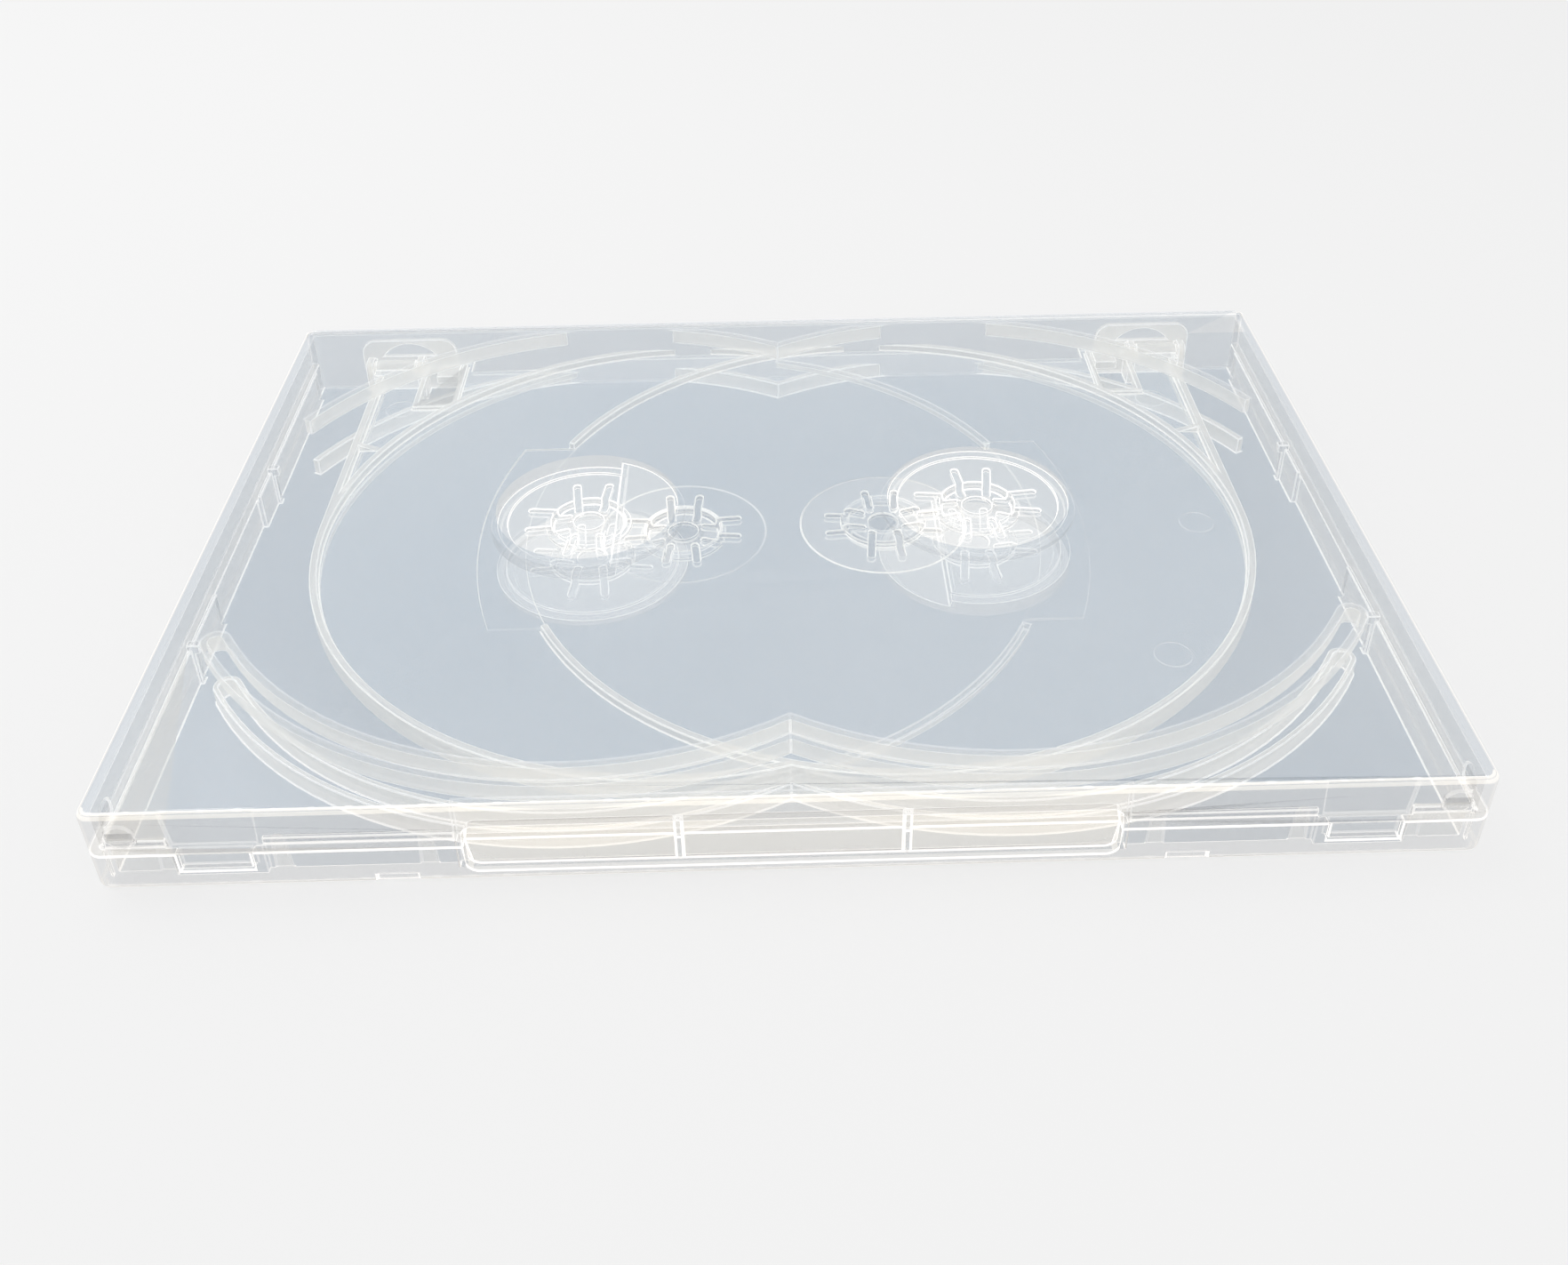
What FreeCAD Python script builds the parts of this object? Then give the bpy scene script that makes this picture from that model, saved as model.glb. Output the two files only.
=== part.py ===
import FreeCAD, Part
import math
import os

from FreeCAD import Vector

# A clear case for six discs, lying closed on its back with the opening edge towards -Y and the
# spine towards +Y. Two discs overlap on the base, two overlap under the cover, and a tray that
# turns like a page holds one more on each of its faces. All sizes are in millimetres.

# Overall size
case_width = 190.0
case_depth = 135.0
case_height = 14.0

# Walls
film = 0.15                # clear outer sleeve
plate = 0.9                # base floor and cover plate
wall = 1.5                 # near wall and side walls
spine_wall = 1.05
web = 0.3                  # thin strip that bends at each spine hinge
fold_z = 0.3               # each spine hinge line, above the table or below the top
fold_gap = 0.05
parting_drop = 0.4         # the joint line is this far below the middle
near_corner = 2.2
edge_round = 1.0
spine_corner = 0.8

# Clearances
split = 0.05               # between base and cover at the joint line
slide = 0.2                # between parts that pass each other
swing = 0.3                # round what turns

# Discs
disc_thickness = 1.2
disc_end_room = 7.5        # from a disc's edge to the outside at the near edge
disc_side_room = 2.0       # from an outer disc's edge to the outside at the sides
disc_y = 4.1               # the rims of all discs are centred this far behind the middle
stack_gap = 0.1            # between a tray disc and the one on the tall seat
disc_gap = 0.3             # between the discs on the tall and the low seat
pass_gap = 0.2             # between the lower disc's edge and the tall seat

# Hub seats
seat_radius = 14.8
seat_wall = 1.2
boss_radius = 16.5
boss_drop = 0.4            # from a seat down to the ring round it
shelf_drop = 0.15          # from the low seat's level down to the shelf beside the tall seat
hub_shift_x = 1.2          # outer hubs from the centres of their rims
hub_shift_y = -1.5
chord = 5.5                # flat side of the tall seat, which the lower disc passes
chord_slope = 0.3
tray_hub_x = 17.2
tray_seat_radius = 14.2
seat_tray = 0.1

# Hub buttons
button_radius = 7.4        # fits the 15 mm hole of a disc
button_skin = 0.85
button_hole = 2.5
button_gap = 0.1           # from the low button to the disc that passes over it
slot_width = 1.1
slot_start = 3.7
slot_end = 9.8
slot_gap_in = 2.1          # half the distance between a pair of slots at the button
slot_gap_out = 2.8         # the same at their outer ends
tray_slot_end = 9.3
tray_slot_gap = 2.6

# Rims round the discs in base and cover
rim_gap = 2.4              # round the disc
rim_width = 4.4
rim_skin = 0.9
rim_single = 1.3
rim_room = 2.4             # from the top of a rim to the tray
rim_near_angle = 32.0      # ends of the rims, from the X axis
rim_far_angle = 28.0
rim_overrun = 10.0         # turned past the middle and then trimmed there

# Flip tray
tray_plate = 0.9
tray_rim_gap = 1.0
tray_rim_wall = 1.3
tray_rim_over = 0.05       # from a tray disc's face to the rim's edge
rim_relief = 0.1           # from the rim's lower end to the cheeks
side_wall_gap = 5.8        # from the hinge line to the end of the side walls
arc_wall = 1.2
arc_far_angle = 25.0       # ends of the inner arcs, from the X axis
arc_near_angle = 26.0
recess_depth = 0.3         # finger recess beside each tray disc
recess_reach = 9.0
gusset = 4.0
gusset_wall = 1.2
gusset_y = 27.0            # behind the rims' centre line
window_in = 12.9           # from the tray's side to the middle of its window
window_width = 6.4
window_near_gap = 16.4     # from the hinge line to the window's ends
window_far_gap = 1.1
frame_width = 1.1
frame_height = 0.8
tongue_width = 4.4
tongue_length = 4.8
tongue_shift = 0.8

# Tray hinges
hinge_back = 3.4           # from the hinge line to the spine
bracket_in = 5.0           # from the tray's side to the middle of the bracket
bracket_width = 19.0
bracket_wall = 1.0
bracket_gap = 0.75         # below the cover plate
bracket_round = 3.0
arch_width = 10.4
arch_depth = 3.5
arch_rise = 2.6
cheek_in = 3.2             # from the middle of the bracket to the inner cheek
cheek_wall = 1.4
cheek_span = 8.6           # between the two cheeks
cheek_reach = 2.3          # from the hinge line to the cheek's near edge
cheek_rise = 2.1
pin_radius = 1.2
pin_clearance = 0.05
barrel_radius = 1.7

# Opening edge
notch_width = 88.9
notch_low = 2.0
notch_gap = 3.7            # from the top of the case to the notch
notch_corner = 1.8
back_wall = 1.2
grip_rib_x = 15.5
grip_rib_width = 1.0
grip_rib_depth = 0.7
grip_rib_end = 0.4         # from the notch to the rib's end
catch_in = 17.2            # from the side of the case
catch_width = 9.7
catch_height = 3.0
tab_low = (5.5, 6.1)       # tab's sides at the joint line, from the middle of the catch
tab_high = (5.9, 6.6)      # and at the plate
tab_skin = 0.5
lip_height = 1.0
lip_wall = 0.7
lip_end = 4.0              # from the tray's brackets
lip_break = 14.0           # half the gap in the side lips, where the discs come near
stiffener_gaps = (5.5, -8.0, 7.6)   # from the notch, and on both sides of the catch
stiffener_width = 1.7
stiffener_foot = 2.3
stiffener_depth = 0.9
stiffener_over = 0.8
guide_ys = (-26.0, 24.0)   # upright guides inside the side walls
guide_width = 1.4
guide_depth = 1.3
guide_hook = 0.8
guide_over = 2.0           # above the joint line
foot_notch_gap = 9.5       # from the notch
foot_notch_width = 5.7
foot_notch_height = 0.6
foot_notch_depth = 0.5

# Marks on the mouldings, as shares of half the width and half the depth
cover_marks = ((0.72, -0.083), (0.6, -0.578), (-0.742, 0.542), (0.73, 0.511))
mark_radius = 2.8
mark_depth = 0.15
dimple_radius = 2.0
dimple_depth = 0.25
dimple_rise = 2.1          # above the joint line
dimple_in = 4.8
dimple_back = 6.0

# Derived places
half_width = case_width / 2
half_depth = case_depth / 2
mid_height = case_height / 2
parting = mid_height - parting_drop
base_low = film
base_inner = film + plate
cover_high = case_height - film
cover_inner = cover_high - plate
spine_out = half_depth - film
spine_in = spine_out - spine_wall
shell_far = spine_in - 0.1
inner_near = -half_depth + wall
inner_side = half_width - wall
fold_y = spine_out - web - fold_gap

# The largest disc that the case holds, and the hubs and rims that follow from it
pass_x = chord + chord_slope + pass_gap
disc_radius = min(half_depth - disc_end_room, 2 * (half_width - disc_side_room - pass_x / 2) / 3)
outer_hub_x = (disc_radius + pass_x) / 2
outer_rim_x = outer_hub_x - hub_shift_x
outer_hub_y = disc_y + hub_shift_y
rim_inner = disc_radius + rim_gap
rim_far_limit = spine_in - 0.7
tray_rim_inner = disc_radius + tray_rim_gap
tray_side = tray_hub_x + tray_rim_inner + tray_rim_wall

# Levels
tray_low = mid_height - tray_plate / 2
tray_high = mid_height + tray_plate / 2
tray_rim_low = tray_low - seat_tray - disc_thickness - tray_rim_over
tray_rim_high = tray_high + seat_tray + disc_thickness + tray_rim_over
room = tray_low - base_inner
rim_height = room - rim_room
seat_high = room - seat_tray - 2 * disc_thickness - stack_gap
seat_low = seat_high - disc_thickness - disc_gap
shelf_rise = seat_low - shelf_drop
button_low = disc_thickness + disc_gap - button_gap
button_high = disc_thickness + stack_gap / 2

# Places of the hinges, the catches and the ribs
hinge_y = spine_in - hinge_back
bracket_y = hinge_y + 2.0
bracket_x = tray_side - bracket_in
bracket_top = cover_inner - bracket_gap
arch_low = bracket_top - arch_depth
cheek_inner = bracket_x - cheek_in
tray_edge_y = hinge_y - 2.7
tray_far = hinge_y + 2.1
window_x = tray_side - window_in
window_near = hinge_y - window_near_gap
window_far = hinge_y - window_far_gap
notch_high = case_height - notch_gap
catch_x = half_width - catch_in
stiffener_xs = (notch_width / 2 + stiffener_gaps[0], catch_x + stiffener_gaps[1],
                catch_x + stiffener_gaps[2])
foot_notch_x = notch_width / 2 + foot_notch_gap
guide_height = parting + guide_over


def block(x0, x1, y0, y1, z0, z1):
    return Part.makeBox(x1 - x0, y1 - y0, z1 - z0, Vector(x0, y0, z0))


def fuse(shapes):
    first, rest = shapes[0], shapes[1:]
    return first.fuse(rest).removeSplitter() if rest else first


def mirrored(shape):
    return shape.mirror(Vector(0, 0, 0), Vector(1, 0, 0))


def upside_down(shape):
    """Turns a shape over the level halfway up the case."""
    return shape.mirror(Vector(0, 0, mid_height), Vector(0, 0, 1))


def outline(x, near, far, radius):
    """Plan outline with two rounded near corners, as a face at z = 0."""
    turn = radius * (1 - math.sqrt(0.5))
    edges = [
        Part.LineSegment(Vector(-x + radius, near, 0), Vector(x - radius, near, 0)).toShape(),
        Part.Arc(Vector(x - radius, near, 0), Vector(x - turn, near + turn, 0),
                 Vector(x, near + radius, 0)).toShape(),
        Part.LineSegment(Vector(x, near + radius, 0), Vector(x, far, 0)).toShape(),
        Part.LineSegment(Vector(x, far, 0), Vector(-x, far, 0)).toShape(),
        Part.LineSegment(Vector(-x, far, 0), Vector(-x, near + radius, 0)).toShape(),
        Part.Arc(Vector(-x, near + radius, 0), Vector(-x + turn, near + turn, 0),
                 Vector(-x + radius, near, 0)).toShape(),
    ]
    return Part.Face(Part.Wire(edges))


def slab(x, near, far, radius, low, high):
    face = outline(x, near, far, radius)
    face.translate(Vector(0, 0, low))
    return face.extrude(Vector(0, 0, high - low))


def cylinder(x, y, radius, low, high):
    return Part.makeCylinder(radius, high - low, Vector(x, y, low))


def sector(x, y, inner, outer, start, end, low, high):
    """Part of a ring between two angles, in degrees from +X."""
    a, b, m = (math.radians(v) for v in (start, end, (start + end) / 2))

    def at(radius, angle):
        return Vector(x + radius * math.cos(angle), y + radius * math.sin(angle), low)

    edges = [
        Part.Arc(at(outer, a), at(outer, m), at(outer, b)).toShape(),
        Part.LineSegment(at(outer, b), at(inner, b)).toShape(),
        Part.Arc(at(inner, b), at(inner, m), at(inner, a)).toShape(),
        Part.LineSegment(at(inner, a), at(outer, a)).toShape(),
    ]
    return Part.Face(Part.Wire(edges)).extrude(Vector(0, 0, high - low))


def prism_y(points, y0, y1):
    """Polygon of (x, z) points, extruded along Y."""
    wire = Part.makePolygon([Vector(x, y0, z) for x, z in points + points[:1]])
    return Part.Face(wire).extrude(Vector(0, y1 - y0, 0))


def rounded_rib(x, low, high, foot, top, y0, y1):
    """Upright rib that is wider at its foot and round at its top."""
    r = top / 2
    edges = [
        Part.LineSegment(Vector(x - foot / 2, y0, low), Vector(x + foot / 2, y0, low)).toShape(),
        Part.LineSegment(Vector(x + foot / 2, y0, low), Vector(x + r, y0, high - r)).toShape(),
        Part.Arc(Vector(x + r, y0, high - r), Vector(x, y0, high), Vector(x - r, y0, high - r)).toShape(),
        Part.LineSegment(Vector(x - r, y0, high - r), Vector(x - foot / 2, y0, low)).toShape(),
    ]
    return Part.Face(Part.Wire(edges)).extrude(Vector(0, y1 - y0, 0))


def half_shell():
    """Floor, near wall and side walls of the base, without its details."""
    solid = slab(half_width, -half_depth, shell_far, near_corner, base_low, parting)
    low_edges = []
    for edge in solid.Edges:
        box = edge.BoundBox
        if box.ZMax < base_low + 0.01 and box.YMin < shell_far - 0.01:
            low_edges.append(edge)
    solid = solid.makeFillet(edge_round, low_edges)
    inside = slab(inner_side, inner_near, shell_far + wall, near_corner - wall, base_inner, parting + wall)
    hinge_web = block(-inner_side, inner_side, shell_far - 1, fold_y - fold_gap, base_low, base_low + web)
    return solid.cut(inside).fuse(hinge_web)


def disc_rims():
    """Rims round the two overlapping discs: double ones at the opening, single ones at the spine."""
    low, high = base_inner, base_inner + rim_height
    outer = rim_inner + rim_width
    middle = rim_inner + rim_width / 2
    cusp = math.degrees(math.acos(outer_rim_x / outer)) - rim_overrun
    end = math.radians(-rim_near_angle)
    end_x = outer_rim_x + middle * math.cos(end)
    end_y = disc_y + middle * math.sin(end)
    near = sector(outer_rim_x, disc_y, rim_inner, outer, cusp - 180, -rim_near_angle, low, high)
    near = near.fuse(cylinder(end_x, end_y, rim_width / 2, low, high))
    near = near.common(block(0, half_width, -half_depth, disc_y, low, high))
    groove = sector(outer_rim_x, disc_y, rim_inner + rim_skin, outer - rim_skin, cusp - 180,
                    -rim_near_angle, low, high)
    groove = groove.fuse(cylinder(end_x, end_y, rim_width / 2 - rim_skin, low, high))
    near = near.cut(groove)
    far = sector(outer_rim_x, disc_y, rim_inner, rim_inner + rim_single, rim_far_angle, 180 - cusp, low, high)
    far = far.common(block(0, inner_side, disc_y, rim_far_limit, low, high))
    solids = [near, far]
    return solids + [mirrored(solid) for solid in solids]


def slot_cutters(end_x, gap_out, closed_side):
    """Cutters for the pairs of slots that free a button's fingers.

    closed_side is the side without a finger, -1 or +1 along X, or 0 where all four sides have one.
    """
    slots = []
    for turn in range(4):
        if closed_side and turn == (0 if closed_side > 0 else 2):
            continue
        for side in (-1, 1):
            start = Vector(slot_start, side * slot_gap_in, 0)
            end = Vector(end_x, side * gap_out, 0)
            angle = math.degrees(math.atan2(end.y - start.y, end.x - start.x))
            length = start.distanceToPoint(end)
            cut = Part.makeBox(length, slot_width, 12, Vector(0, -slot_width / 2, -6))
            for x in (0, length):
                cut = cut.fuse(Part.makeCylinder(slot_width / 2, 12, Vector(x, 0, -6)))
            cut.rotate(Vector(0, 0, 0), Vector(0, 0, 1), angle)
            cut.translate(start)
            cut.rotate(Vector(0, 0, 0), Vector(0, 0, 1), 90 * turn)
            slots.append(cut)
    return slots


def button(height):
    """Sprung button over a seat at z = 0."""
    r, t = button_radius, button_skin
    profile = [
        (r - 0.3, -plate), (r - 0.2, 0.0), (r, height * 0.55), (r - 0.35, height * 0.85),
        (r - 1.1, height), (button_hole + 1.1, height - 0.55), (button_hole, height - 1.0),
        (button_hole, height - 1.0 - t), (button_hole + 1.1, height - 0.45 - t),
        (r - 1.4, height - t), (r - 0.3 - t, 0.0), (r - 0.3 - t, -plate),
    ]
    wire = Part.makePolygon([Vector(x, 0, z) for x, z in profile + profile[:1]])
    return Part.Face(wire).revolve(Vector(0, 0, 0), Vector(0, 0, 1), 360)


def add_hub(body, x, floor, rise, height, chord_side=0):
    """Adds a seat with a ring round it, and its button, to a plate whose upper face is at floor.

    A seat with a chord side is cut down to a shelf there, so that the disc on the other hub passes it.
    """
    y, low, seat = outer_hub_y, floor - plate, floor + rise
    ledge, shelf = seat - boss_drop, floor + shelf_rise
    reach = boss_radius + 1
    run = chord + chord_slope

    def beyond(points):
        return prism_y([(x + chord_side * px, z) for px, z in points], y - reach, y + reach)

    solid = fuse([cylinder(x, y, boss_radius, floor - plate / 2, ledge),
                  cylinder(x, y, seat_radius, floor, seat)])
    hollow = fuse([cylinder(x, y, boss_radius - seat_wall, low - 1, ledge - plate),
                   cylinder(x, y, seat_radius - seat_wall, low - 1, seat - plate)])
    if chord_side:
        solid = solid.cut(beyond([(chord, seat + 1), (chord, seat), (run, shelf), (reach, shelf),
                                  (reach, seat + 1)]))
        hollow = hollow.cut(beyond([(chord - plate, seat), (run - plate, shelf - plate),
                                    (reach, shelf - plate), (reach, seat)]))
    body = body.fuse(solid).cut(hollow)

    cup = button(height)
    cup.translate(Vector(x, y, seat))
    well = cylinder(x, y, button_radius - 0.3 - button_skin / 2, seat - plate, seat + 0.5)
    if chord_side:
        kept = sorted((x - chord_side * reach, x + chord_side * chord))
        keep = block(*kept, y - reach, y + reach, low - 1, seat + 1)
        above = block(x - reach, x + reach, y - reach, y + reach, seat - 0.01, seat + height)
        well = well.common(keep)
        cup = cup.common(keep.fuse(above))
    body = body.cut(well).fuse(cup)
    around = cylinder(x, y, seat_radius, seat - plate - 0.4, seat + height + 1)
    cuts = []
    for slot in slot_cutters(slot_end, slot_gap_out, chord_side):
        slot.translate(Vector(x, y, seat))
        cuts.append(slot.common(around))
    return body.cut(cuts)


def thumb_notch(low, high, open_top):
    """Cutter for the recess in the opening edge, rounded at the corners away from the joint line."""
    x = notch_width / 2
    far = parting + wall if open_top else parting - wall
    near, sign = (low, 1) if open_top else (high, -1)
    c = notch_corner
    turn = c * (1 - math.sqrt(0.5))
    points = [Vector(-x, 0, far), Vector(-x, 0, near + sign * c)]
    edges = [
        Part.LineSegment(points[0], points[1]).toShape(),
        Part.Arc(points[1], Vector(-x + turn, 0, near + sign * turn), Vector(-x + c, 0, near)).toShape(),
        Part.LineSegment(Vector(-x + c, 0, near), Vector(x - c, 0, near)).toShape(),
        Part.Arc(Vector(x - c, 0, near), Vector(x - turn, 0, near + sign * turn),
                 Vector(x, 0, near + sign * c)).toShape(),
        Part.LineSegment(Vector(x, 0, near + sign * c), Vector(x, 0, far)).toShape(),
        Part.LineSegment(Vector(x, 0, far), points[0]).toShape(),
    ]
    face = Part.Face(Part.Wire(edges))
    face.translate(Vector(0, -half_depth - 1, 0))
    return face.extrude(Vector(0, wall + 1, 0))


def back_of_notch(low, high, rib_low, rib_high):
    """Set-back wall behind the thumb notch, with its two grip ribs."""
    x = notch_width / 2 + back_wall
    solids = [block(-x, x, inner_near, inner_near + back_wall, low, high)]
    for centre in (-grip_rib_x, grip_rib_x):
        solids.append(block(centre - grip_rib_width / 2, centre + grip_rib_width / 2,
                            inner_near - grip_rib_depth, inner_near, rib_low, rib_high))
    return solids


def joint_lip():
    """Low lip inside the base walls, which the cover's skirt passes over."""
    low, high = base_inner, parting + lip_height
    solids = []
    spans = ((notch_width / 2 + back_wall + slide, catch_x - tab_high[0] - slide),
             (catch_x + tab_high[1] + slide, half_width - near_corner))
    for x0, x1 in spans:
        solids.append(block(x0, x1, inner_near, inner_near + lip_wall + slide, low, parting))
        solids.append(block(x0, x1, inner_near + slide, inner_near + slide + lip_wall, low, high))
    face = inner_side - slide - lip_wall
    spans = ((-half_depth + near_corner, outer_hub_y - lip_break),
             (outer_hub_y + lip_break, bracket_y - lip_end))
    for y0, y1 in spans:
        solids.append(block(face, inner_side, y0, y1, low, parting))
        solids.append(block(face, inner_side - slide, y0, y1, low, high))
    return solids + [mirrored(s) for s in solids]


def base_ribs():
    """Stiffeners on the near wall and upright guides on the side walls."""
    solids = []
    for x in stiffener_xs:
        top = parting + stiffener_over
        face = inner_near + slide
        solids.append(rounded_rib(x, base_inner, top, stiffener_foot, stiffener_width, face,
                                  face + stiffener_depth))
        root = rounded_rib(x, base_inner, top, stiffener_foot, stiffener_width, inner_near, face)
        solids.append(root.common(block(0, half_width, inner_near, face, base_inner, parting)))
    for y in guide_ys:
        upright = block(inner_side - slide - guide_depth, inner_side, y, y + guide_width, base_inner, parting)
        top = block(inner_side - slide - guide_depth, inner_side - slide, y, y + guide_width,
                    base_inner, guide_height)
        hook = block(inner_side - slide - guide_depth - guide_hook, inner_side - slide, y, y + guide_width,
                     guide_height - 2 * guide_hook, guide_height)
        solids += [upright, top, hook]
    return solids + [mirrored(s) for s in solids]


def hinge_bracket():
    """Arched bracket with two cheeks that carry one hinge of the tray, on the right side."""
    x0, x1 = bracket_x - bracket_width / 2, bracket_x + bracket_width / 2
    panel = block(x0, x1, bracket_y, bracket_y + bracket_wall, base_inner, bracket_top)
    corners = []
    for edge in panel.Edges:
        if edge.BoundBox.YLength > bracket_wall - 0.01 and edge.BoundBox.ZMin > bracket_top - 0.01:
            if edge.BoundBox.XLength < 0.01:
                corners.append(edge)
    panel = panel.makeFillet(bracket_round, corners)
    a, b = bracket_x - arch_width / 2, bracket_x + arch_width / 2
    y = bracket_y - 1
    arch = Part.Wire([
        Part.LineSegment(Vector(b, y, arch_low), Vector(a, y, arch_low)).toShape(),
        Part.Arc(Vector(a, y, arch_low), Vector(bracket_x, y, arch_low + arch_rise),
                 Vector(b, y, arch_low)).toShape(),
    ])
    panel = panel.cut(Part.Face(arch).extrude(Vector(0, bracket_wall + 2, 0)))
    solids = [panel]
    for x in (cheek_inner, cheek_inner + cheek_wall + cheek_span):
        cheek = block(x, x + cheek_wall, hinge_y - cheek_reach, bracket_y, base_inner, mid_height)
        crown = Part.makeCylinder(cheek_reach, cheek_wall, Vector(x, hinge_y, mid_height), Vector(1, 0, 0))
        crown = crown.common(block(x, x + cheek_wall, hinge_y - cheek_reach, bracket_y,
                                   mid_height, mid_height + cheek_rise))
        hole = Part.makeCylinder(pin_radius + pin_clearance, cheek_wall + 2,
                                 Vector(x - 1, hinge_y, mid_height), Vector(1, 0, 0))
        solids.append(cheek.fuse(crown).cut(hole))
    return fuse(solids)


def base_half():
    body = half_shell()
    body = body.cut(thumb_notch(notch_low, notch_high, True))
    for sign in (-1, 1):
        centre, half = sign * catch_x, catch_width / 2 + slide
        body = body.cut(block(centre - half, centre + half, -half_depth - 1, inner_near,
                              parting - catch_height - slide, parting + 1))
        foot, half = sign * foot_notch_x, foot_notch_width / 2
        body = body.cut(block(foot - half, foot + half, -half_depth - 1, -half_depth + foot_notch_depth,
                              base_low - 1, base_low + foot_notch_height + edge_round))
    solids = back_of_notch(base_inner - plate / 2, parting, notch_low + grip_rib_end, parting)
    solids += joint_lip() + base_ribs() + disc_rims()
    bracket = hinge_bracket()
    solids += [bracket, mirrored(bracket)]
    body = body.fuse(solids)
    body = add_hub(body, -outer_hub_x, base_inner, seat_low, button_low)
    body = add_hub(body, outer_hub_x, base_inner, seat_high, button_high, -1)
    return body.removeSplitter()


def cover_half():
    """Modelled the other way up, as if it were a base, and then turned over."""
    high = case_height - parting - split
    body = half_shell()
    skirt = slab(half_width, -half_depth, shell_far, near_corner, parting - 0.5, high)
    inside = slab(inner_side, inner_near, shell_far + wall, near_corner - wall, 0, high + 1)
    body = body.fuse(skirt.cut(inside))
    body = body.cut(upside_down(thumb_notch(notch_low, notch_high, False)))
    solids = back_of_notch(base_inner - plate / 2, high, case_height - notch_high + grip_rib_end, high)
    for sign in (-1, 1):
        centre = sign * catch_x
        solids.append(block(centre - catch_width / 2, centre + catch_width / 2, -half_depth + slide,
                            inner_near - slide, high - 0.5, high + catch_height))
        tab = [(centre - sign * tab_low[0], high), (centre + sign * tab_low[1], high),
               (centre + sign * tab_high[1], base_inner), (centre - sign * tab_high[0], base_inner)]
        solids.append(prism_y(tab, inner_near - slide, inner_near + tab_skin))
    solids += disc_rims()
    body = body.fuse(solids)
    body = add_hub(body, outer_hub_x, base_inner, seat_low, button_low)
    body = add_hub(body, -outer_hub_x, base_inner, seat_high, button_high, 1)
    marks = []
    for share_x, share_y in cover_marks:
        marks.append(cylinder(share_x * half_width, share_y * half_depth, mark_radius,
                              base_inner - mark_depth, base_inner + 1))
    level = high - dimple_rise
    for sign in (-1, 1):
        near = Vector(sign * (half_width - dimple_in), inner_near - dimple_depth, level)
        side = Vector(sign * (inner_side + dimple_depth), dimple_back - half_depth, level)
        marks.append(Part.makeCylinder(dimple_radius, dimple_depth + 1, near, Vector(0, 1, 0)))
        marks.append(Part.makeCylinder(dimple_radius, dimple_depth + 1, side, Vector(-sign, 0, 0)))
    body = body.cut(marks)
    return upside_down(body.removeSplitter())


def spine():
    """Stiff back strip, with a thin web towards each hinge line."""
    low, high = fold_z + web, case_height - fold_z - web
    body = block(-half_width, half_width, spine_in, spine_out, low, high)
    upright = []
    for edge in body.Edges:
        if edge.BoundBox.ZLength > high - low - 0.01 and edge.BoundBox.YMax > spine_out - 0.01:
            upright.append(edge)
    body = body.makeFillet(spine_corner, upright)
    webs = block(-inner_side, inner_side, spine_out - web, spine_out, fold_z + fold_gap,
                 case_height - fold_z - fold_gap)
    return body.fuse(webs).removeSplitter()


def tray_lobes(radius, low, high):
    return fuse([cylinder(x, disc_y, radius, low, high) for x in (-tray_hub_x, tray_hub_x)])


def tray_body():
    """Plate and rims: two round lobes towards the opening, a straight-sided part at the hinge."""
    outer = tray_rim_inner + tray_rim_wall
    square = block(-tray_side, tray_side, disc_y, tray_edge_y, tray_low, tray_high)
    body = fuse([tray_lobes(outer, tray_low, tray_high), square])
    low, high = tray_rim_low, tray_rim_high
    rim = tray_lobes(outer, low, high).cut(tray_lobes(tray_rim_inner, low, high))
    kept = block(-tray_side, tray_side, -half_depth, tray_far, low, high)
    under_hinge = block(-tray_side, tray_side, hinge_y - cheek_reach - rim_relief, half_depth, 0, tray_low)
    walls = [rim.common(kept).cut(under_hinge)]
    for sign in (-1, 1):
        x0, x1 = sorted((sign * tray_side, sign * (tray_side - tray_rim_wall)))
        walls.append(block(x0, x1, disc_y, hinge_y - side_wall_gap, low, high))
        walls.append(tray_gusset(sign, disc_y + gusset_y))
    return body.common(kept).fuse(walls)


def flip_tray():
    body = tray_body()
    solids = hinge_arm(-1) + hinge_arm(1)
    # Inner arcs: above the plate for the right disc, below it for the left one
    cusp = tray_cusp_angle()
    for sign, z0, z1 in ((1, tray_high - plate / 3, tray_rim_high), (-1, tray_rim_low, tray_low + plate / 3)):
        for start, end in ((180 - cusp, 180 - arc_far_angle), (180 + arc_near_angle, 180 + cusp)):
            arc = sector(tray_hub_x, disc_y, tray_rim_inner, tray_rim_inner + arc_wall, start, end, z0, z1)
            solids.append(arc if sign > 0 else mirrored(arc))
    body = body.fuse(solids)
    for sign in (-1, 1):
        body = body.fuse(window_frame(sign)).cut(window_opening(sign))
    body = body.cut(finger_recess(-1, tray_high - recess_depth, tray_high + 0.01))
    body = body.cut(finger_recess(1, tray_low - 0.01, tray_low + recess_depth))
    body = add_tray_hub(body, tray_hub_x)
    body = upside_down(add_tray_hub(upside_down(body), -tray_hub_x))
    return body.removeSplitter()


def tray_cusp_angle():
    """Angle from the X axis, about one lobe's centre, at which the two lobes cross."""
    return math.degrees(math.acos(tray_hub_x / (tray_rim_inner + arc_wall)))


def tray_gusset(sign, y):
    """Small triangular gusset between the tray's plate and its side wall."""
    x = sign * (tray_side - tray_rim_wall)
    points = [(x, tray_high), (x - sign * gusset, tray_high), (x, tray_rim_high)]
    return prism_y(points, y, y + gusset_wall)


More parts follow.
